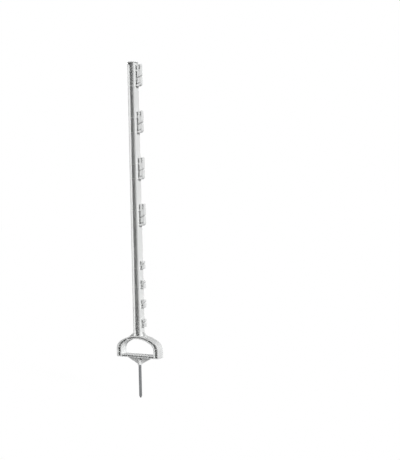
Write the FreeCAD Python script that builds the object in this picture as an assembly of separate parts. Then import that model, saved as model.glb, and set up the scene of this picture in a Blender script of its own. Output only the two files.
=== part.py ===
import FreeCAD, Part
import math
import os

# A step in post for an electric fence, in millimetres, +Z up.
# One white moulding holds the I-section shaft with its round head, the tape and wire clips, and
# the D-shaped stirrup that a boot pushes down. A round steel spike is moulded into the boss under
# the stirrup.
# X runs across the stirrup and the clips are on +X. The mould opens along Y.
# The origin is on the spike's axis, where the spike leaves the boss.

# Shaft
shaft_top = 946.0
shaft_foot_width = 25.5
shaft_top_width = 24.5
shaft_foot_depth = 26.0
shaft_top_depth = 23.5
flange_edge = 3.2
flange_root = 4.2
shaft_web = 2.5
shaft_root_fillet = 2.0
shaft_rib = 1.4
shaft_rib_setback = 4.5

# Round head that closes the shaft's channels and carries the palm of a hand
head_diameter = 34.5
head_thickness = 3.0
head_rim_radius = 1.0

# Stirrup
stirrup_width = 155.5
stirrup_depth = 27.5
stirrup_height = 68.0
leg_width = 17.3
crown_thickness = 9.8
spring_height = 24.0
outer_shoulder_radius = 30.0
inner_shoulder_radius = 22.5
bar_height = 8.0
bar_flange = 2.3
ring_flange = 3.5
ring_web = 2.5
ring_rib = 1.8
ring_rib_setback = 0.8
crown_rib_offset = 41.0
bar_rib_offset = 38.5
leg_rib_height = 30.0
stirrup_corner = 3.0
opening_corner = 2.0

# Boss, the web that spreads its load into the bar, and the gussets at the shaft's foot
boss_height = 24.0
boss_diameter = 13.0
boss_web_reach = 48.0
boss_web_foot = 2.0
gusset_height = 14.0
gusset_reach = 25.0

# Ground spike
spike_diameter = 9.0
spike_length = 103.5
spike_point = 6.5
spike_point_diameter = 3.6
spike_tip_radius = 1.6
shank_diameter = 8.0
shank_length = 29.0
shank_chamfer = 0.8
shank_groove_width = 3.0
shank_groove_depth = 0.9
shank_groove_pitch = 8.0
shank_grooves = 2

# Clips: all are plates in the mould's mid plane on the +X flange
clip_depth = 10.5
clip_root = 1.2
clip_slit = 2.4
clip_slit_slope = 24.0
clip_mouth = 5.0
clip_mouth_length = 2.2

tape_clips = 4
tape_clip_top = 874.5
tape_clip_pitch = 144.5
tape_slot_height = 40.5
tape_slot_width = 7.0
tape_clip_reach = 20.0
tape_arm_upper = 5.0
tape_arm_lower = 5.2
tape_slit_height = 20.0
tape_top_radius = 1.5
tape_bottom_radius = 9.0
slot_radius = 1.0
spring_slit = 1.8
spring_slit_height = 1.4
spring_hinge = 3.5

hook_height = 17.5
hook_tooth = 5.2
hook_notch = 5.8
hook_barb = 1.3
hook_barb_height = 3.4
hook_notch_radius = 2.1

wire_clips = 4
wire_clip_top = 304.5
wire_clip_pitch = 60.5
wire_slot_height = 18.0
wire_slot_width = 4.6
wire_clip_reach = 13.5
wire_arm = 3.2
wire_slit_height = 8.5
wire_pocket_diameter = 6.4
wire_pocket_offset = 5.0
wire_corner_radius = 3.0

# Values worked out from the ones above
stirrup_foot = boss_height
spring_line = stirrup_foot + spring_height
bar_top = stirrup_foot + bar_height
crown_top = stirrup_foot + stirrup_height
opening_half_width = stirrup_width / 2 - leg_width
outer_rise = stirrup_height - spring_height
inner_rise = outer_rise - crown_thickness

# How far a cut runs past the face it opens
past = 1.0


def corner_arc(before, corner, after, radius):
    """Return the two ends and the middle of the arc that rounds one corner of an outline."""
    to_before = (before - corner).normalize()
    to_after = (after - corner).normalize()
    half_angle = to_before.getAngle(to_after) / 2
    bisector = (to_before + to_after).normalize()
    centre = corner + bisector * (radius / math.sin(half_angle))
    setback = radius / math.tan(half_angle)
    return corner + to_before * setback, centre - bisector * radius, corner + to_after * setback


def outline(corners):
    """Make a closed wire in the XZ plane from (x, z) or (x, z, corner radius) rows."""
    points = [FreeCAD.Vector(row[0], 0, row[1]) for row in corners]
    radii = [row[2] if len(row) > 2 else 0 for row in corners]
    edges, ends = [], []
    for i, corner in enumerate(points):
        if radii[i]:
            before, after = points[i - 1], points[(i + 1) % len(points)]
            start, middle, end = corner_arc(before, corner, after, radii[i])
            edges.append(Part.Arc(start, middle, end).toShape())
        else:
            start = end = corner
        ends.append((start, end))
    for i, (start, end) in enumerate(ends):
        following = ends[(i + 1) % len(ends)][0]
        if end.distanceToPoint(following) > 1e-6:
            edges.append(Part.makeLine(end, following))
    return Part.Wire(Part.__sortEdges__(edges))


def plate(wire, depth):
    """Extrude a wire in the XZ plane to both sides of the mid plane."""
    face = Part.Face(wire)
    face.translate(FreeCAD.Vector(0, -depth / 2, 0))
    return face.extrude(FreeCAD.Vector(0, depth, 0))


def box(low, high, depth):
    """A plate with straight sides, from its low (x, z) corner to its high one."""
    return plate(outline([low, (high[0], low[1]), high, (low[0], high[1])]), depth)


def shaft_size(z):
    """Return the shaft's width and depth at a height, which taper from foot to top."""
    share = (z - crown_top) / (shaft_top - crown_top)
    width = shaft_foot_width + share * (shaft_top_width - shaft_foot_width)
    depth = shaft_foot_depth + share * (shaft_top_depth - shaft_foot_depth)
    return width, depth


def shaft_section(z):
    """The I section at a height: two drafted flanges joined by the web."""
    width, depth = shaft_size(z)
    x, y = width / 2, depth / 2
    quarter = [(x, 0), (x, y), (x - flange_edge, y), (x - flange_root, shaft_web / 2)]
    upper = quarter[1:] + [(-px, py) for px, py in reversed(quarter[1:])]
    lower = [(-px, -py) for px, py in upper]
    points = [FreeCAD.Vector(px, py, z) for px, py in upper + lower]
    return Part.makePolygon(points + points[:1])


def shaft():
    """The tapered shaft, with its web filleted into the flanges."""
    foot = crown_top - ring_flange / 2
    top = shaft_top - head_thickness / 2
    solid = Part.makeLoft([shaft_section(foot), shaft_section(top)], True, True)
    roots = []
    for edge in solid.Edges:
        middle = edge.CenterOfMass
        inside = abs(middle.x) < shaft_top_width / 2 - flange_edge
        if inside and edge.Length > shaft_foot_width:
            roots.append(edge)
    return solid.makeFillet(shaft_root_fillet, roots)


def shaft_ribs():
    """Cross ribs in the shaft's channels, level with the clip arms that pull on its flange."""
    levels = []
    for z in tape_clip_heights():
        levels += [z - tape_arm_lower / 2, z + tape_slot_height + tape_arm_upper / 2]
    levels += [z - wire_arm / 2 for z in wire_clip_heights()]
    ribs = []
    for z in levels:
        width, depth = shaft_size(z)
        x = width / 2 - flange_edge / 2
        ribs.append(box((-x, z - shaft_rib / 2), (x, z + shaft_rib / 2), depth - 2 * shaft_rib_setback))
    return ribs


def head():
    """The round plate on top, with its rim rounded above and below."""
    underside = FreeCAD.Vector(0, 0, shaft_top - head_thickness)
    disc = Part.makeCylinder(head_diameter / 2, head_thickness, underside)
    rims = [edge for edge in disc.Edges if edge.isClosed()]
    return disc.makeFillet(head_rim_radius, rims)


def crown_radius(half_width, rise, shoulder):
    """The radius of the middle arc of a three centred arch, tangent to both shoulder arcs."""
    across = half_width - shoulder
    return (across ** 2 + rise ** 2 - shoulder ** 2) / (2 * (rise - shoulder))


def arch(half_width, rise, shoulder):
    """Return points on an arch's right half: the shoulder's spring, middle and end, then the top."""
    across = half_width - shoulder
    crown_centre = rise - crown_radius(half_width, rise, shoulder)
    lean = math.atan2(-crown_centre, across)

    def on_shoulder(angle):
        return across + shoulder * math.cos(angle), spring_line + shoulder * math.sin(angle)

    return on_shoulder(0), on_shoulder(lean / 2), on_shoulder(lean), (0, spring_line + rise)


def d_outline(half_width, rise, shoulder, foot, corner):
    """The stirrup's D: a flat foot, two straight legs and a three centred arch."""
    def at(point, side=1):
        return FreeCAD.Vector(side * point[0], 0, point[1])

    spring, shoulder_middle, join, top = arch(half_width, rise, shoulder)
    edges = [Part.Arc(at(join), at(top), at(join, -1)).toShape()]
    for side in (1, -1):
        edges.append(Part.Arc(at(spring, side), at(shoulder_middle, side), at(join, side)).toShape())
    low = FreeCAD.Vector(half_width, 0, foot)
    far = FreeCAD.Vector(-half_width, 0, foot)
    starts = [corner_arc(at(spring), low, far, corner), corner_arc(low, far, at(spring, -1), corner)]
    edges += [Part.Arc(*ends).toShape() for ends in starts]
    edges.append(Part.makeLine(at(spring), starts[0][0]))
    edges.append(Part.makeLine(starts[0][2], starts[1][0]))
    edges.append(Part.makeLine(starts[1][2], at(spring, -1)))
    return Part.Wire(Part.__sortEdges__(edges))


def outer_d(inset=0.0):
    """The stirrup's outer D, or one set in from it by a flange."""
    corner = max(stirrup_corner - inset, stirrup_corner / 4)
    foot = stirrup_foot + (bar_flange if inset else 0)
    return d_outline(stirrup_width / 2 - inset, outer_rise - inset, outer_shoulder_radius - inset,
                     foot, corner)


def inner_d(outset=0.0):
    """The opening's D, or one set out from it by a flange and carried down past the bar."""
    foot = stirrup_foot - past if outset else bar_top
    return d_outline(opening_half_width + outset, inner_rise + outset, inner_shoulder_radius + outset,
                     foot, opening_corner)


def ring_ribs():
    """The short ribs that tie the stirrup's two flanges: on the crown, the legs and the bar."""
    depth = stirrup_depth - 2 * ring_rib_setback
    half = ring_rib / 2
    crown = crown_radius(stirrup_width / 2, outer_rise, outer_shoulder_radius)
    lean = math.degrees(math.asin(crown_rib_offset / crown))
    crown_rib = box((-half, crown_top - leg_width), (half, crown_top - ring_flange / 2), depth)
    leg = (opening_half_width + ring_flange / 2, stirrup_width / 2 - ring_flange / 2)
    leg_level = stirrup_foot + leg_rib_height
    ribs = [crown_rib]
    for side in (1, -1):
        leaning = crown_rib.copy()
        leaning.rotate(FreeCAD.Vector(0, 0, crown_top - crown), FreeCAD.Vector(0, 1, 0), side * lean)
        ends = sorted(side * x for x in leg)
        bar_x = side * bar_rib_offset
        ribs += [leaning,
                 box((ends[0], leg_level - half), (ends[1], leg_level + half), depth),
                 box((bar_x - half, stirrup_foot + bar_flange / 2),
                     (bar_x + half, bar_top - bar_flange / 2), depth)]
    return ribs


def stirrup():
    """The D-shaped tread: an inner and an outer flange on a web, tied by ribs."""
    ring = plate(outer_d(), stirrup_depth).cut(plate(inner_d(), stirrup_depth + past))
    channel = Part.Face(outer_d(ring_flange)).cut(Part.Face(inner_d(ring_flange)))
    bar_channel = Part.Face(outline([
        (-opening_half_width, stirrup_foot + bar_flange), (opening_half_width, stirrup_foot + bar_flange),
        (opening_half_width, bar_top - bar_flange), (-opening_half_width, bar_top - bar_flange)]))
    ribs = ring_ribs()
    pocket_depth = (stirrup_depth - ring_web) / 2 + past
    for side in (1, -1):
        for face in (channel, bar_channel):
            pocket = face.copy()
            pocket.translate(FreeCAD.Vector(0, side * ring_web / 2, 0))
            pocket = pocket.extrude(FreeCAD.Vector(0, side * pocket_depth, 0))
            ring = ring.cut(pocket.cut(ribs))
    return ring


def gussets():
    """The mid-plane plates: two beside the shaft's foot and the V under the bar."""
    flange = shaft_foot_width / 2
    inside = crown_top - crown_thickness / 2
    top = crown_top + gusset_height
    plates = []
    for side in (1, -1):
        plates.append(plate(outline([
            (side * (flange - flange_edge / 2), inside), (side * (flange - flange_edge / 2), top),
            (side * flange, top), (side * (flange + gusset_reach), inside)]), ring_web))
    wall = boss_diameter / 2 - ring_web / 2
    bar_inside = stirrup_foot + bar_flange / 2
    plates.append(plate(outline([
        (-boss_web_reach, bar_inside), (-boss_web_reach, stirrup_foot), (-wall, boss_web_foot),
        (wall, boss_web_foot), (boss_web_reach, stirrup_foot), (boss_web_reach, bar_inside)]), ring_web))
    return plates


def boss():
    """The round boss that runs up through the bar and holds the spike."""
    return Part.makeCylinder(boss_diameter / 2, bar_top - bar_flange / 2)


def slit(start, length):
    """Cut the slanted slit that lets the tape or wire in, from the slot out to a flared mouth."""
    half, wide = clip_slit / 2, clip_mouth / 2
    tip = length - clip_mouth_length
    wire = outline([(-past, -half), (tip, -half), (length + past, -wide), (length + past, wide),
                    (tip, half), (-past, half)])
    cut = plate(wire, clip_depth + past)
    cut.rotate(FreeCAD.Vector(), FreeCAD.Vector(0, 1, 0), -clip_slit_slope)
    cut.translate(FreeCAD.Vector(start[0], 0, start[1]))
    return cut


def slope_length(run):
    """The length along the slits' slope for a run in X."""
    return run / math.cos(math.radians(clip_slit_slope))


def tape_clip():
    """A tape clip with a rope hook on top, placed with its slot's floor corner at the origin."""
    arm_top = tape_slot_height + tape_arm_upper
    top = arm_top + hook_height
    body = plate(outline([
        (-clip_root, -tape_arm_lower), (tape_clip_reach, -tape_arm_lower, tape_bottom_radius),
        (tape_clip_reach, top, tape_top_radius), (-clip_root, top)]), clip_depth)
    slot = plate(outline([
        (-clip_root - past, 0), (tape_slot_width, 0, slot_radius),
        (tape_slot_width, tape_slot_height, slot_radius), (-clip_root - past, tape_slot_height)]),
        clip_depth + past)
    entry = slit((tape_slot_width, tape_slit_height), slope_length(tape_clip_reach - tape_slot_width))
    rope_notch = hook_notch_cut(-clip_root - past, tape_slot_width, 0)
    cord_left = tape_slot_width + hook_tooth
    cord_notch = hook_notch_cut(cord_left, cord_left + hook_notch, hook_notch_radius)
    return body.cut([slot, entry, spring_cut(), rope_notch, cord_notch])


def hook_notch_cut(left, right, left_radius):
    """Cut one of the hook's notches, open at the top, with a barb on the tooth to its right."""
    arm_top = tape_slot_height + tape_arm_upper
    top = arm_top + hook_height
    barb = right - hook_barb
    return plate(outline([
        (left, arm_top, left_radius), (right, arm_top, hook_notch_radius),
        (right, top - hook_barb_height - hook_barb), (barb, top - hook_barb_height),
        (barb, top - hook_barb), (right, top), (right, top + past), (left, top + past)]),
        clip_depth + past)


def spring_cut():
    """Cut the blind slit that frees the tape clip's lower jaw, all but a hinge at its outer end."""
    length = slope_length(tape_clip_reach - spring_hinge - tape_slot_width)
    half = spring_slit / 2
    cut = plate(outline([(-past, -half), (length, -half, half), (length, half, half), (-past, half)]),
                clip_depth + past)
    cut.rotate(FreeCAD.Vector(), FreeCAD.Vector(0, 1, 0), -clip_slit_slope)
    cut.translate(FreeCAD.Vector(tape_slot_width, 0, spring_slit_height))
    return cut


def wire_clip():
    """A wire clip: a narrow slot that drops into a round pocket behind the lower jaw."""
    top = wire_slot_height + wire_arm
    pocket_radius = wire_pocket_diameter / 2
    body = plate(outline([
        (-clip_root, -wire_arm), (wire_clip_reach, -wire_arm, wire_corner_radius),
        (wire_clip_reach, top, wire_corner_radius), (-clip_root, top)]), clip_depth)
    slot = plate(outline([
        (-clip_root - past, pocket_radius), (wire_slot_width, pocket_radius),
        (wire_slot_width, wire_slot_height, slot_radius), (-clip_root - past, wire_slot_height)]),
        clip_depth + past)
    pocket = Part.makeCylinder(
        pocket_radius, clip_depth + past,
        FreeCAD.Vector(wire_pocket_offset, -(clip_depth + past) / 2, pocket_radius), FreeCAD.Vector(0, 1, 0))
    entry = slit((wire_slot_width, wire_slit_height), slope_length(wire_clip_reach - wire_slot_width))
    return body.cut([slot, pocket, entry])


def tape_clip_heights():
    """The heights of the tape slots' floors, from the top one down."""
    return [tape_clip_top - i * tape_clip_pitch for i in range(tape_clips)]


def wire_clip_heights():
    """The heights of the wire clips' pocket floors, from the top one down."""
    return [wire_clip_top - i * wire_clip_pitch for i in range(wire_clips)]


def clips():
    """Every clip, set on the tapering flange at its own height."""
    placed = []
    for pattern, heights in ((tape_clip(), tape_clip_heights()), (wire_clip(), wire_clip_heights())):
        for z in heights:
            clip = pattern.copy()
            clip.translate(FreeCAD.Vector(shaft_size(z)[0] / 2, 0, z))
            placed.append(clip)
    return placed


def ground_spike():
    """The turned steel spike: a blunt point, a shoulder at the boss and a grooved shank inside it."""
    r, point, shank = spike_diameter / 2, spike_point_diameter / 2, shank_diameter / 2
    bottom = -spike_length
    profile = [(0, bottom), (point, bottom, spike_tip_radius), (r, bottom + spike_point), (r, 0), (shank, 0)]
    for i in range(shank_grooves):
        low = shank_groove_pitch * (i + 1) - shank_groove_width / 2
        neck = shank - shank_groove_depth
        profile += [(shank, low), (neck, low + shank_groove_depth),
                    (neck, low + shank_groove_width - shank_groove_depth), (shank, low + shank_groove_width)]
    profile += [(shank, shank_length - shank_chamfer), (shank - shank_chamfer, shank_length),
                (0, shank_length)]
    return Part.Face(outline(profile)).revolve(FreeCAD.Vector(), FreeCAD.Vector(0, 0, 1), 360)


def post_moulding(spike):
    """The one-piece moulding, formed round the spike's shank."""
    solid = stirrup().fuse([shaft(), head(), boss()] + gussets() + shaft_ribs() + clips())
    return solid.removeSplitter().cut(spike)


def export(shape, name):
    """Write one node's single solid and print what it is."""
    solid = shape.Solids[0]
    if len(shape.Solids) != 1 or not shape.isValid():
        raise RuntimeError(f"{name}: {len(shape.Solids)} solids, valid {shape.isValid()}")
    solid.exportStep(f"parts/{name}.step")
    size = solid.BoundBox
    print(f"{name}: {solid.Volume / 1000:.1f} cm3, X {size.XMin:.1f} to {size.XMax:.1f}, "
          f"Y {size.YMin:.1f} to {size.YMax:.1f}, Z {size.ZMin:.1f} to {size.ZMax:.1f}")


os.makedirs("parts", exist_ok=True)
spike = ground_spike()
export(spike, "ground_spike")
export(post_moulding(spike), "post_moulding")
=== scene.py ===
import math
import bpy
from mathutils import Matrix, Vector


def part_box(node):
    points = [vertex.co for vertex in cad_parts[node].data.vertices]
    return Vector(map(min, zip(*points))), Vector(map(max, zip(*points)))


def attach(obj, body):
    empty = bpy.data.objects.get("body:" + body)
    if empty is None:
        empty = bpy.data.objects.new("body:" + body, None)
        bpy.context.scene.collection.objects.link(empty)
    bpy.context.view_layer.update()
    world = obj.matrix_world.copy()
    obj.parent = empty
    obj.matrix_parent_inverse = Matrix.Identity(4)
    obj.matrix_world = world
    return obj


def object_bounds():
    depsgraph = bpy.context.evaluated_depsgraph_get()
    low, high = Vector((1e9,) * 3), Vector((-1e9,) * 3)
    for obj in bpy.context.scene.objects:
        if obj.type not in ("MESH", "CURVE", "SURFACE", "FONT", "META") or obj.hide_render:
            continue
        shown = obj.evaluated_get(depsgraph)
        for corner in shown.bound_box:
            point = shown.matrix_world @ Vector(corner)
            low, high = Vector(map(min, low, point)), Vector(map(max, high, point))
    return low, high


bl_info = {
    "name": "Step in fence post finish",
    "version": (1, 0, 0),
    "blender": (4, 5, 0),
    "location": "3D View > Sidebar > Fence Post",
    "description": "Moulded plastic, plated steel, mould marks and a pale studio for a step in fence post",
    "category": "Object",
}

import bmesh
import bpy
from bpy.props import FloatProperty, FloatVectorProperty, IntProperty, PointerProperty
from mathutils import Matrix, Vector

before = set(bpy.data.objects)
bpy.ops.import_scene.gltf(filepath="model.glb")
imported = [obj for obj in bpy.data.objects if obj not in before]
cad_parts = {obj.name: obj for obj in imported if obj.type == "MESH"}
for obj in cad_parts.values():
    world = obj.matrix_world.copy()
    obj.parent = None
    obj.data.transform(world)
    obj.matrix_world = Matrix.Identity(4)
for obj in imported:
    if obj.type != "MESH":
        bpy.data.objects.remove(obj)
cad_low, cad_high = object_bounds()
spike_low, spike_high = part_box("ground_spike")

MILLIMETRE = 0.001
LAMPS = ("key", "fill", "back")
WHITE = (1, 1, 1, 1)
NOISE_LOW, NOISE_HIGH = 0.3, 0.7  # most of a noise texture's values lie between these
STREAK_RATIO = 60  # length over width of a draw line or a turned ring
WELD = 0.001 * MILLIMETRE  # points this close are one point
ON_PLANE = 0.0001 * MILLIMETRE  # points this close to the cut lie on it


class MouldingProperties(bpy.types.PropertyGroup):
    """The white plastic, as it comes out of the mould."""

    colour: FloatVectorProperty(
        name="Colour", description="Colour of the moulding where it is thick",
        subtype="COLOR", size=4, min=0.0, max=1.0, default=(0.75, 0.755, 0.75, 1.0))
    flow_colour: FloatVectorProperty(
        name="Flow colour", description="Colour of the faint clouds that the melt leaves",
        subtype="COLOR", size=4, min=0.0, max=1.0, default=(0.72, 0.73, 0.725, 1.0))
    roughness: FloatProperty(
        name="Roughness", description="Mean roughness of the satin surface",
        min=0.0, max=1.0, default=0.42)
    roughness_spread: FloatProperty(
        name="Roughness spread", description="How far the roughness strays from its mean",
        min=0.0, max=1.0, default=0.05)
    refraction: FloatProperty(
        name="Refraction", description="Index of refraction of the plastic",
        min=1.0, default=1.49)
    glow: FloatProperty(
        name="Glow", description="Share of the light that spreads inside the plastic",
        min=0.0, max=1.0, default=0.08)
    glow_depth: FloatProperty(
        name="Glow depth", description="How far that light spreads",
        unit="LENGTH", min=0.0, default=1.5 * MILLIMETRE)
    edge_radius: FloatProperty(
        name="Edge radius", description="Radius that the mould leaves on every edge",
        unit="LENGTH", min=0.0, default=0.35 * MILLIMETRE)
    grain_size: FloatProperty(
        name="Grain size", description="Width of the grain that the mould's eroded steel prints",
        unit="LENGTH", min=0.0, default=0.5 * MILLIMETRE)
    grain_height: FloatProperty(
        name="Grain height", description="Height of that grain",
        unit="LENGTH", min=0.0, default=0.02 * MILLIMETRE)
    flow_size: FloatProperty(
        name="Flow size", description="Width of the faint clouds that the melt leaves",
        unit="LENGTH", min=0.0, default=45 * MILLIMETRE)


class PartingLineProperties(bpy.types.PropertyGroup):
    """The fine ridge where the two halves of the mould meet."""

    ridge_radius: FloatProperty(
        name="Ridge radius", description="Half the width of the ridge",
        unit="LENGTH", min=0.0, default=0.16 * MILLIMETRE)
    ridge_sides: IntProperty(
        name="Ridge sides", description="Sides of the ridge's section",
        min=3, default=6)
    spike_clearance: FloatProperty(
        name="Spike clearance", description="How far from the spike's wall the ridge stops",
        unit="LENGTH", min=0.0, default=0.4 * MILLIMETRE)


class EjectorProperties(bpy.types.PropertyGroup):
    """The round marks that the mould's ejector pins leave on the back of the shaft's web."""

    diameter: FloatProperty(
        name="Diameter", description="Diameter of an ejector pin",
        unit="LENGTH", min=0.0, default=5.0 * MILLIMETRE)
    sides: IntProperty(
        name="Sides", description="Sides of a mark's round outline",
        min=3, default=32)
    height: FloatProperty(
        name="Height", description="How far a mark stands above the web",
        unit="LENGTH", min=0.0, default=0.3 * MILLIMETRE)
    web_face: FloatProperty(
        name="Web face", description="Distance of the web's back face from the mid plane",
        unit="LENGTH", min=0.0, default=1.25 * MILLIMETRE)
    upper_start: FloatProperty(
        name="Upper start", description="Height of the lowest mark between the tape clips",
        unit="LENGTH", default=389 * MILLIMETRE)
    upper_pitch: FloatProperty(
        name="Upper pitch", description="Spacing of the marks between the tape clips",
        unit="LENGTH", min=0.0, default=72.25 * MILLIMETRE)
    upper_count: IntProperty(
        name="Upper count", description="Number of marks between the tape clips",
        min=1, default=8)
    lower_start: FloatProperty(
        name="Lower start", description="Height of the lowest mark between the wire clips",
        unit="LENGTH", default=151.6 * MILLIMETRE)
    lower_pitch: FloatProperty(
        name="Lower pitch", description="Spacing of the marks between the wire clips",
        unit="LENGTH", min=0.0, default=60.5 * MILLIMETRE)
    lower_count: IntProperty(
        name="Lower count", description="Number of marks between the wire clips",
        min=1, default=4)


class SpikeProperties(bpy.types.PropertyGroup):
    """The zinc plated steel of the ground spike."""

    colour: FloatVectorProperty(
        name="Colour", description="Colour of the dull zinc",
        subtype="COLOR", size=4, min=0.0, max=1.0, default=(0.18, 0.185, 0.19, 1.0))
    spangle_colour: FloatVectorProperty(
        name="Spangle colour", description="Colour of the zinc's darker patches",
        subtype="COLOR", size=4, min=0.0, max=1.0, default=(0.11, 0.115, 0.12, 1.0))
    roughness: FloatProperty(
        name="Roughness", description="Mean roughness of the plating",
        min=0.0, max=1.0, default=0.42)
    roughness_spread: FloatProperty(
        name="Roughness spread", description="How far the roughness strays from its mean",
        min=0.0, max=1.0, default=0.07)
    spangle_size: FloatProperty(
        name="Spangle size", description="Width of the zinc's patches",
        unit="LENGTH", min=0.0, default=3.0 * MILLIMETRE)
    cloud_size: FloatProperty(
        name="Cloud size", description="Width of the clouds in which the patches fade",
        unit="LENGTH", min=0.0, default=7.5 * MILLIMETRE)
    draw_line_width: FloatProperty(
        name="Draw line width", description="Width of the lines that drawing leaves along the bar",
        unit="LENGTH", min=0.0, default=0.4 * MILLIMETRE)
    draw_line_height: FloatProperty(
        name="Draw line height", description="Height of those lines",
        unit="LENGTH", min=0.0, default=0.01 * MILLIMETRE)
    point_length: FloatProperty(
        name="Point length", description="Length of the turned point, where the zinc is thin",
        unit="LENGTH", min=0.0, default=6.5 * MILLIMETRE)


class StudioProperties(bpy.types.PropertyGroup):
    """The pale floor, the lamps and the camera."""

    floor_reach: FloatProperty(
        name="Floor reach", description="Distance from the post to the floor's edges",
        unit="LENGTH", min=1.0, default=60.0)
    floor_colour: FloatVectorProperty(
        name="Floor colour", description="Colour of the floor as the object sees it",
        subtype="COLOR", size=4, min=0.0, max=1.0, default=(0.2, 0.2, 0.2, 1.0))
    shadow_share: FloatProperty(
        name="Shadow share", description="How much of the shadow on the floor the camera sees",
        min=0.0, max=1.0, default=0.12)
    ambient: FloatProperty(
        name="Ambient", description="Strength of the even light from all round",
        min=0.0, default=0.01)
    key_strength: FloatProperty(
        name="Key strength", description="Strength of the key lamp",
        min=0.0, default=3.3)
    key_azimuth: FloatProperty(
        name="Key azimuth", description="Direction of the key lamp, from the front towards +X",
        subtype="ANGLE", default=math.radians(70.5))
    key_elevation: FloatProperty(
        name="Key elevation", description="Height of the key lamp above the horizon",
        subtype="ANGLE", default=math.radians(18))
    key_spread: FloatProperty(
        name="Key spread", description="Angle that the key lamp's soft disc fills",
        subtype="ANGLE", min=0.0, default=math.radians(12))
    fill_strength: FloatProperty(
        name="Fill strength", description="Strength of the fill lamp",
        min=0.0, default=1.15)
    fill_azimuth: FloatProperty(
        name="Fill azimuth", description="Direction of the fill lamp, from the front towards +X",
        subtype="ANGLE", default=math.radians(-40))
    fill_elevation: FloatProperty(
        name="Fill elevation", description="Height of the fill lamp above the horizon",
        subtype="ANGLE", default=math.radians(10))
    fill_spread: FloatProperty(
        name="Fill spread", description="Angle that the fill lamp's soft disc fills",
        subtype="ANGLE", min=0.0, default=math.radians(20))
    back_strength: FloatProperty(
        name="Back strength", description="Strength of the lamp behind the post",
        min=0.0, default=2.4)
    back_azimuth: FloatProperty(
        name="Back azimuth", description="Direction of the lamp behind, from the front towards +X",
        subtype="ANGLE", default=math.radians(236))
    back_elevation: FloatProperty(
        name="Back elevation", description="Height of the lamp behind above the horizon",
        subtype="ANGLE", default=math.radians(7))
    back_spread: FloatProperty(
        name="Back spread", description="Angle that the soft disc of the lamp behind fills",
        subtype="ANGLE", min=0.0, default=math.radians(20))
    camera_azimuth: FloatProperty(
        name="Camera azimuth", description="Direction of the camera, from the front towards +X",
        subtype="ANGLE", default=math.radians(34.6))
    camera_distance: FloatProperty(
        name="Camera distance", description="Level distance from the post's axis to the camera",
        unit="LENGTH", min=0.1, default=2.574)
    camera_height: FloatProperty(
        name="Camera height", description="Height of the camera above the boss",
        unit="LENGTH", default=0.456)
    aim_height: FloatProperty(
        name="Aim height", description="Height of the point at the middle of the picture",
        unit="LENGTH", default=0.4177)
    aim_aside: FloatProperty(
        name="Aim aside", description="How far to the right of the post the camera aims",
        unit="LENGTH", default=0.1987)
    camera_roll: FloatProperty(
        name="Camera roll", description="Turn of the camera about its line of sight",
        subtype="ANGLE", default=math.radians(-1.32))
    camera_lens: FloatProperty(
        name="Camera lens", description="Focal length on a 36 mm sensor",
        unit="CAMERA", min=1.0, default=64.2)


def add_node(tree, kind, inputs=None, **settings):
    """Add a node, set its options, and fill or link its inputs by name or number."""
    made = tree.nodes.new(kind)
    for name, value in settings.items():
        setattr(made, name, value)
    for key, value in (inputs or {}).items():
        if isinstance(value, bpy.types.NodeSocket):
            tree.links.new(value, made.inputs[key])
        else:
            made.inputs[key].default_value = value
    return made


def new_material(name):
    """Make an empty node material and return it with its tree."""
    material = bpy.data.materials.new(name)
    material.use_nodes = True
    material.node_tree.nodes.clear()
    return material, material.node_tree


def dress(piece, material):
    """Give a piece one material in all its slots."""
    if not piece.data.materials:
        piece.data.materials.append(material)
    for slot in piece.material_slots:
        slot.material = material


def uneven_roughness(tree, look, pattern):
    """Let the roughness stray from its mean along a noise pattern."""
    spread = add_node(tree, "ShaderNodeMapRange",
                      {"Value": pattern, "From Min": NOISE_LOW, "From Max": NOISE_HIGH,
                       "To Min": look.roughness - look.roughness_spread,
                       "To Max": look.roughness + look.roughness_spread})
    return spread.outputs["Result"]


def direction(azimuth, elevation):
    """The way from the post towards a lamp or camera; azimuth 0 is the front, which faces -Y."""
    level = math.cos(elevation)
    return Vector((math.sin(azimuth) * level, -math.cos(azimuth) * level, math.sin(elevation)))


def moulded_plastic(look):
    """Satin white plastic: faint flow clouds, a fine eroded grain and edges that the mould rounds."""
    material, tree = new_material("moulded_plastic")
    place = add_node(tree, "ShaderNodeTexCoord").outputs["Object"]
    clouds = add_node(tree, "ShaderNodeTexNoise",
                      {"Vector": place, "Scale": 1 / look.flow_size, "Detail": 3.0, "Distortion": 0.6})
    grain = add_node(tree, "ShaderNodeTexNoise",
                     {"Vector": place, "Scale": 1 / look.grain_size, "Detail": 2.0, "Roughness": 0.6})
    colour = add_node(tree, "ShaderNodeMix",
                      {"Factor": clouds.outputs["Fac"], "A": look.colour, "B": look.flow_colour},
                      data_type="RGBA")
    rounded = add_node(tree, "ShaderNodeBevel", {"Radius": look.edge_radius}, samples=8)
    bump = add_node(tree, "ShaderNodeBump",
                    {"Distance": look.grain_height, "Height": grain.outputs["Fac"],
                     "Normal": rounded.outputs["Normal"]})
    plastic = add_node(tree, "ShaderNodeBsdfPrincipled",
                       {"Base Color": colour.outputs["Result"],
                        "Roughness": uneven_roughness(tree, look, clouds.outputs["Fac"]),
                        "IOR": look.refraction, "Subsurface Weight": look.glow,
                        "Subsurface Radius": (1, 1, 1), "Subsurface Scale": look.glow_depth,
                        "Normal": bump.outputs["Normal"]})
    add_node(tree, "ShaderNodeOutputMaterial", {"Surface": plastic.outputs["BSDF"]})
    return material


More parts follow.
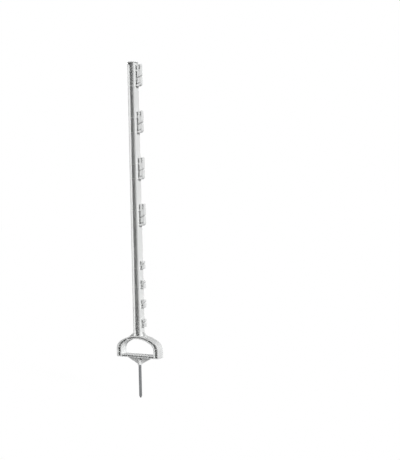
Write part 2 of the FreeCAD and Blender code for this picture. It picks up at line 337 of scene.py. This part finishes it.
def plated_steel(look):
    """Dull zinc on drawn bar: soft spangle, draw lines along the bar, turned rings on the point."""
    material, tree = new_material("plated_steel")
    place = add_node(tree, "ShaderNodeTexCoord").outputs["Object"]
    spangle = add_node(tree, "ShaderNodeTexVoronoi",
                       {"Vector": place, "Scale": 1 / look.spangle_size}, feature="SMOOTH_F1")
    clouds = add_node(tree, "ShaderNodeTexNoise",
                      {"Vector": place, "Scale": 1 / look.cloud_size, "Detail": 4.0})
    patches = add_node(tree, "ShaderNodeMath",
                       {0: spangle.outputs["Distance"], 1: clouds.outputs["Fac"]}, operation="MULTIPLY")
    colour = add_node(tree, "ShaderNodeMix",
                      {"Factor": patches.outputs["Value"], "A": look.colour, "B": look.spangle_colour},
                      data_type="RGBA")
    fine = 1 / look.draw_line_width
    stretched = fine / STREAK_RATIO
    drawn = add_node(tree, "ShaderNodeMapping", {"Vector": place, "Scale": (fine, fine, stretched)})
    lines = add_node(tree, "ShaderNodeTexNoise", {"Vector": drawn.outputs["Vector"], "Scale": 1.0})
    turned = add_node(tree, "ShaderNodeMapping",
                      {"Vector": place, "Scale": (stretched, stretched, fine)})
    rings = add_node(tree, "ShaderNodeTexNoise", {"Vector": turned.outputs["Vector"], "Scale": 1.0})
    height = add_node(tree, "ShaderNodeSeparateXYZ", {"Vector": place})
    point_top = spike_low.z + look.point_length
    on_point = add_node(tree, "ShaderNodeMapRange",
                        {"Value": height.outputs["Z"], "From Min": point_top,
                         "From Max": point_top + MILLIMETRE, "To Min": 1.0, "To Max": 0.0})
    marks = add_node(tree, "ShaderNodeMix",
                     {"Factor": on_point.outputs["Result"], "A": lines.outputs["Fac"],
                      "B": rings.outputs["Fac"]}, data_type="FLOAT")
    bump = add_node(tree, "ShaderNodeBump",
                    {"Distance": look.draw_line_height, "Height": marks.outputs["Result"]})
    steel = add_node(tree, "ShaderNodeBsdfPrincipled",
                     {"Base Color": colour.outputs["Result"], "Metallic": 1.0,
                      "Roughness": uneven_roughness(tree, look, clouds.outputs["Fac"]),
                      "Normal": bump.outputs["Normal"]})
    add_node(tree, "ShaderNodeOutputMaterial", {"Surface": steel.outputs["BSDF"]})
    return material


def seen_by_eye(tree):
    """1 for the rays that show a background: camera, mirror and glass rays."""
    path = add_node(tree, "ShaderNodeLightPath")
    either = add_node(tree, "ShaderNodeMath",
                      {0: path.outputs["Is Camera Ray"], 1: path.outputs["Is Glossy Ray"]},
                      operation="MAXIMUM")
    return add_node(tree, "ShaderNodeMath",
                    {0: either.outputs["Value"], 1: path.outputs["Is Transmission Ray"]},
                    operation="MAXIMUM").outputs["Value"]


def pale_floor(studio):
    """A floor that looks white and keeps a light share of the post's shadow."""
    material, tree = new_material("pale_floor")
    paint = add_node(tree, "ShaderNodeBsdfDiffuse", {"Color": studio.floor_colour})
    lit = studio.ambient
    for lamp in LAMPS:
        strength, elevation = getattr(studio, lamp + "_strength"), getattr(studio, lamp + "_elevation")
        lit += strength / math.pi * math.sin(elevation)
    unshaded = studio.floor_colour[0] * lit * studio.shadow_share
    white = add_node(tree, "ShaderNodeEmission", {"Strength": (1 - unshaded) / (1 - studio.shadow_share)})
    shown = add_node(tree, "ShaderNodeMixShader",
                     {"Fac": studio.shadow_share, 1: white.outputs["Emission"], 2: paint.outputs["BSDF"]})
    either = add_node(tree, "ShaderNodeMixShader",
                      {"Fac": seen_by_eye(tree), 1: paint.outputs["BSDF"], 2: shown.outputs["Shader"]})
    add_node(tree, "ShaderNodeOutputMaterial", {"Surface": either.outputs["Shader"]})
    return material


def pale_world(studio):
    """A weak even light on the object, and plain white for the rays that show a background."""
    world = bpy.data.worlds.new("pale_room")
    world.use_nodes = True
    tree = world.node_tree
    tree.nodes.clear()
    even = add_node(tree, "ShaderNodeBackground", {"Color": WHITE, "Strength": studio.ambient})
    white = add_node(tree, "ShaderNodeBackground", {"Color": WHITE, "Strength": 1.0})
    either = add_node(tree, "ShaderNodeMixShader",
                      {"Fac": seen_by_eye(tree), 1: even.outputs["Background"],
                       2: white.outputs["Background"]})
    add_node(tree, "ShaderNodeOutputWorld", {"Surface": either.outputs["Shader"]})
    bpy.context.scene.world = world


def new_geometry_tree(name, inputs):
    """Make a geometry node tree with named inputs, given as a dict of name to socket type."""
    tree = bpy.data.node_groups.new(name, "GeometryNodeTree")
    tree.interface.new_socket("Geometry", in_out="INPUT", socket_type="NodeSocketGeometry")
    tree.interface.new_socket("Geometry", in_out="OUTPUT", socket_type="NodeSocketGeometry")
    for title, kind in inputs.items():
        tree.interface.new_socket(title, in_out="INPUT", socket_type=kind)
    return tree, add_node(tree, "NodeGroupInput").outputs


def close_tree(tree, geometry, material):
    """End a geometry node tree in real geometry with its material."""
    real = add_node(tree, "GeometryNodeRealizeInstances", {"Geometry": geometry})
    painted = add_node(tree, "GeometryNodeSetMaterial",
                       {"Geometry": real.outputs["Geometry"], "Material": material})
    add_node(tree, "NodeGroupOutput", {"Geometry": painted.outputs["Geometry"]})


def grow(name, seed_mesh, tree, values):
    """Run a geometry node tree on a mesh and return the result as a plain mesh object."""
    seed = bpy.data.objects.new(name + "_seed", seed_mesh)
    bpy.context.scene.collection.objects.link(seed)
    modifier = seed.modifiers.new(tree.name, "NODES")
    modifier.node_group = tree
    for item in tree.interface.items_tree:
        if item.in_out == "INPUT" and item.name in values:
            modifier[item.identifier] = values[item.name]
    shown = seed.evaluated_get(bpy.context.evaluated_depsgraph_get())
    mesh = bpy.data.meshes.new_from_object(shown)
    bpy.data.objects.remove(seed)
    mesh.name = name
    piece = bpy.data.objects.new(name, mesh)
    bpy.context.scene.collection.objects.link(piece)
    return piece


def parting_outline(clearance):
    """Cut a copy of the moulding at its mid plane and keep the outline, clear of the spike's hole."""
    cut = bmesh.new()
    cut.from_mesh(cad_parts["post_moulding"].data)
    bmesh.ops.remove_doubles(cut, verts=cut.verts, dist=WELD)
    bmesh.ops.bisect_plane(cut, geom=cut.verts[:] + cut.edges[:] + cut.faces[:], dist=ON_PLANE,
                           plane_co=(0, 0, 0), plane_no=(0, 1, 0), clear_inner=True, clear_outer=True)
    hole = spike_high.x + clearance
    inside = [v for v in cut.verts if abs(v.co.x) < hole and v.co.z < spike_high.z + clearance]
    bmesh.ops.delete(cut, geom=inside, context="VERTS")
    outline = bpy.data.meshes.new("parting_outline")
    cut.to_mesh(outline)
    cut.free()
    return outline


def ridge_tree(material):
    """Geometry nodes: a fine ridge along an outline, held inside the object's box."""
    tree, given = new_geometry_tree("parting_ridge", {
        "Radius": "NodeSocketFloat", "Sides": "NodeSocketInt",
        "Low corner": "NodeSocketVector", "High corner": "NodeSocketVector"})
    path = add_node(tree, "GeometryNodeMeshToCurve", {"Mesh": given["Geometry"]})
    section = add_node(tree, "GeometryNodeCurvePrimitiveCircle",
                       {"Resolution": given["Sides"], "Radius": given["Radius"]})
    ridge = add_node(tree, "GeometryNodeCurveToMesh",
                     {"Curve": path.outputs["Curve"], "Profile Curve": section.outputs["Curve"],
                      "Fill Caps": True})
    where = add_node(tree, "GeometryNodeInputPosition")
    above = add_node(tree, "ShaderNodeVectorMath",
                     {0: where.outputs["Position"], 1: given["Low corner"]}, operation="MAXIMUM")
    held = add_node(tree, "ShaderNodeVectorMath",
                    {0: above.outputs["Vector"], 1: given["High corner"]}, operation="MINIMUM")
    placed = add_node(tree, "GeometryNodeSetPosition",
                      {"Geometry": ridge.outputs["Mesh"], "Position": held.outputs["Vector"]})
    close_tree(tree, placed.outputs["Geometry"], material)
    return tree


def mark_tree(material):
    """Geometry nodes: two rows of low round marks, each row with its own start, pitch and count."""
    rows = ("Upper", "Lower")
    inputs = {"Diameter": "NodeSocketFloat", "Sides": "NodeSocketInt",
              "Height": "NodeSocketFloat", "Web face": "NodeSocketFloat"}
    for row in rows:
        inputs |= {row + " start": "NodeSocketFloat", row + " pitch": "NodeSocketFloat",
                   row + " count": "NodeSocketInt"}
    tree, given = new_geometry_tree("ejector_rows", inputs)
    radius = add_node(tree, "ShaderNodeMath", {0: given["Diameter"], 1: 0.5}, operation="MULTIPLY")
    depth = add_node(tree, "ShaderNodeMath", {0: given["Height"], 1: 2.0}, operation="MULTIPLY")
    mark = add_node(tree, "GeometryNodeMeshCylinder",
                    {"Vertices": given["Sides"], "Radius": radius.outputs["Value"],
                     "Depth": depth.outputs["Value"]})
    lines = []
    for row in rows:
        start = add_node(tree, "ShaderNodeCombineXYZ", {"Y": given["Web face"], "Z": given[row + " start"]})
        step = add_node(tree, "ShaderNodeCombineXYZ", {"Z": given[row + " pitch"]})
        lines.append(add_node(tree, "GeometryNodeMeshLine",
                              {"Count": given[row + " count"], "Start Location": start.outputs["Vector"],
                               "Offset": step.outputs["Vector"]}))
    both = add_node(tree, "GeometryNodeJoinGeometry")
    for line in lines:
        tree.links.new(line.outputs["Mesh"], both.inputs["Geometry"])
    marks = add_node(tree, "GeometryNodeInstanceOnPoints",
                     {"Points": both.outputs["Geometry"], "Instance": mark.outputs["Mesh"],
                      "Rotation": (math.pi / 2, 0, 0)})
    close_tree(tree, marks.outputs["Instances"], material)
    return tree


def bind(piece):
    """Let a moulded detail ride with the post."""
    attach(piece, "root")


class FENCEPOST_OT_moulding(bpy.types.Operator):
    """Give the one piece moulding its satin white plastic"""

    bl_idname = "fencepost.moulding"
    bl_label = "Finish moulding"

    def execute(self, context):
        dress(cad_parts["post_moulding"], moulded_plastic(context.scene.fencepost_moulding))
        return {"FINISHED"}


class FENCEPOST_OT_parting_line(bpy.types.Operator):
    """Trace the fine ridge where the mould's halves meet, all round the moulding's mid plane"""

    bl_idname = "fencepost.parting_line"
    bl_label = "Trace parting line"

    def execute(self, context):
        line = context.scene.fencepost_parting_line
        tree = ridge_tree(bpy.data.materials["moulded_plastic"])
        outline = parting_outline(line.spike_clearance)
        piece = grow("parting_line", outline, tree, {
            "Radius": line.ridge_radius, "Sides": line.ridge_sides,
            "Low corner": cad_low, "High corner": cad_high})
        bind(piece)
        return {"FINISHED"}


class FENCEPOST_OT_ejector_marks(bpy.types.Operator):
    """Set the ejector pins' round marks along the back of the shaft's web"""

    bl_idname = "fencepost.ejector_marks"
    bl_label = "Set ejector marks"

    def execute(self, context):
        pins = context.scene.fencepost_ejectors
        tree = mark_tree(bpy.data.materials["moulded_plastic"])
        piece = grow("ejector_marks", bpy.data.meshes.new("ejector_seed"), tree, {
            "Diameter": pins.diameter, "Sides": pins.sides, "Height": pins.height, "Web face": pins.web_face,
            "Upper start": pins.upper_start, "Upper pitch": pins.upper_pitch,
            "Upper count": pins.upper_count, "Lower start": pins.lower_start,
            "Lower pitch": pins.lower_pitch, "Lower count": pins.lower_count})
        bind(piece)
        return {"FINISHED"}


class FENCEPOST_OT_spike(bpy.types.Operator):
    """Give the ground spike its dull zinc plating"""

    bl_idname = "fencepost.spike"
    bl_label = "Finish spike"

    def execute(self, context):
        dress(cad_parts["ground_spike"], plated_steel(context.scene.fencepost_spike))
        return {"FINISHED"}


class FENCEPOST_OT_studio(bpy.types.Operator):
    """Lay the pale floor, set the lamps and world, and place the camera"""

    bl_idname = "fencepost.studio"
    bl_label = "Build studio"

    def execute(self, context):
        studio = context.scene.fencepost_studio
        self.lay_floor(context, studio)
        for lamp in LAMPS:
            self.hang_lamp(context, studio, lamp)
        pale_world(studio)
        self.place_camera(context, studio)
        context.scene.view_settings.view_transform = "Standard"
        return {"FINISHED"}

    def lay_floor(self, context, studio):
        reach, level = studio.floor_reach, cad_low.z
        corners = [(x * reach, y * reach, level) for x, y in ((-1, -1), (1, -1), (1, 1), (-1, 1))]
        mesh = bpy.data.meshes.new("floor")
        mesh.from_pydata(corners, [], [(0, 1, 2, 3)])
        floor = bpy.data.objects.new("floor", mesh)
        context.scene.collection.objects.link(floor)
        dress(floor, pale_floor(studio))

    def hang_lamp(self, context, studio, name):
        lamp = bpy.data.lights.new(name + "_lamp", "SUN")
        lamp.energy = getattr(studio, name + "_strength")
        lamp.angle = getattr(studio, name + "_spread")
        hung = bpy.data.objects.new(name + "_lamp", lamp)
        context.scene.collection.objects.link(hung)
        towards = direction(getattr(studio, name + "_azimuth"), getattr(studio, name + "_elevation"))
        hung.location = towards * studio.camera_distance
        hung.rotation_euler = towards.to_track_quat("Z", "Y").to_euler()

    def place_camera(self, context, studio):
        place = direction(studio.camera_azimuth, 0) * studio.camera_distance
        place.z = studio.camera_height
        aside = Vector((math.cos(studio.camera_azimuth), math.sin(studio.camera_azimuth), 0))
        sight = (aside * studio.aim_aside + Vector((0, 0, studio.aim_height)) - place).normalized()
        level = sight.cross(Vector((0, 0, 1))).normalized()
        upright = level.cross(sight)
        turn = Matrix.Rotation(-studio.camera_roll, 3, sight)
        lens = bpy.data.cameras.new("camera")
        lens.lens = studio.camera_lens
        camera = bpy.data.objects.new("camera", lens)
        context.scene.collection.objects.link(camera)
        camera.rotation_euler = (turn @ Matrix((level, upright, -sight)).transposed()).to_euler()
        camera.location = place
        context.scene.camera = camera


class FENCEPOST_PT_panel(bpy.types.Panel):
    """Lists the steps that dress the post, each with its settings"""

    bl_idname = "FENCEPOST_PT_panel"
    bl_label = "Fence Post"
    bl_space_type = "VIEW_3D"
    bl_region_type = "UI"
    bl_category = "Fence Post"

    def draw(self, context):
        for step, settings in STEPS:
            box = self.layout.box()
            box.operator(step.bl_idname)
            group = getattr(context.scene, settings)
            for name in group.__annotations__:
                box.prop(group, name)


STEPS = (
    (FENCEPOST_OT_moulding, "fencepost_moulding"),
    (FENCEPOST_OT_parting_line, "fencepost_parting_line"),
    (FENCEPOST_OT_ejector_marks, "fencepost_ejectors"),
    (FENCEPOST_OT_spike, "fencepost_spike"),
    (FENCEPOST_OT_studio, "fencepost_studio"),
)
SETTINGS = {
    "fencepost_moulding": MouldingProperties,
    "fencepost_parting_line": PartingLineProperties,
    "fencepost_ejectors": EjectorProperties,
    "fencepost_spike": SpikeProperties,
    "fencepost_studio": StudioProperties,
}
CLASSES = (*SETTINGS.values(), *(step for step, settings in STEPS), FENCEPOST_PT_panel)


def register():
    for cls in CLASSES:
        bpy.utils.register_class(cls)
    for name, group in SETTINGS.items():
        setattr(bpy.types.Scene, name, PointerProperty(type=group))


def unregister():
    for name in SETTINGS:
        delattr(bpy.types.Scene, name)
    for cls in reversed(CLASSES):
        bpy.utils.unregister_class(cls)


def main():
    register()
    bpy.ops.fencepost.moulding()
    bpy.ops.fencepost.parting_line()
    bpy.ops.fencepost.ejector_marks()
    bpy.ops.fencepost.spike()
    bpy.ops.fencepost.studio()


if __name__ == "__main__":
    main()
